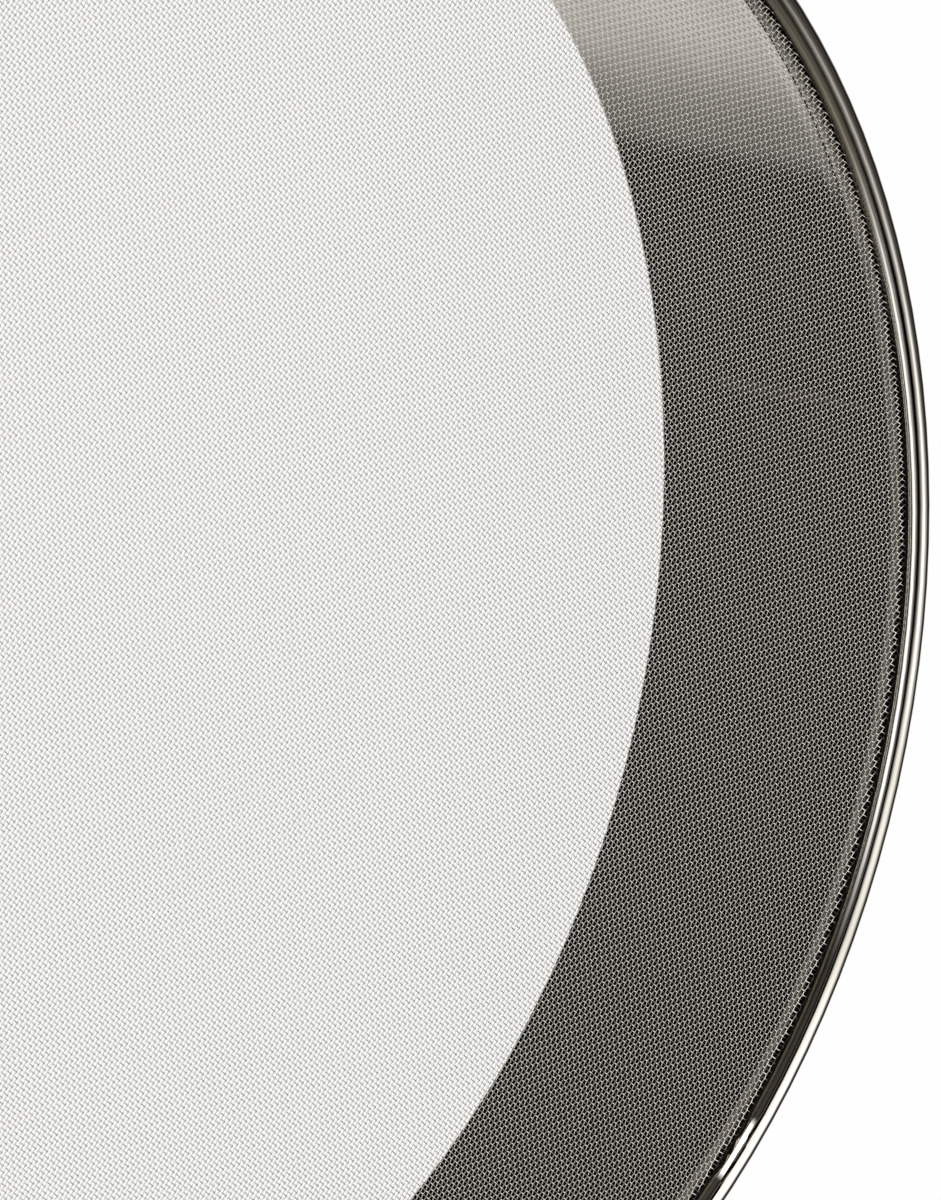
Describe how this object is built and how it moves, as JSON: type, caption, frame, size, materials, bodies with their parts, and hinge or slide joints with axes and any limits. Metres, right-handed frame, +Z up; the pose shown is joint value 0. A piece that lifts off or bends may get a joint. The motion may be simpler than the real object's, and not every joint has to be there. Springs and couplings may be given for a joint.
{
  "type": "tamis drum sieve",
  "caption": "Round stainless steel tamis: a shallow drum with rolled edges and a tight disc of fine wire cloth held by a clamp ring.",
  "frame": {"origin": "centre of the foot, on the surface that the open end stands on", "axes": "+Z up along the drum's axis, with the wire cloth on top; +Y along the warp wires of the cloth"},
  "size_m": [0.25, 0.25, 0.052],
  "materials": {
    "polished_steel": "polished stainless steel",
    "wire_steel": "bright drawn stainless wire",
    "formed_steel": "formed stainless steel, satin"
  },
  "bodies": {
    "root": {"drum_hoop": "polished_steel", "rim_wire": "wire_steel", "foot_wire": "wire_steel", "support_ring": "formed_steel", "clamp_ring": "polished_steel", "wire_cloth": "wire_steel"}
  },
  "joints": []
}
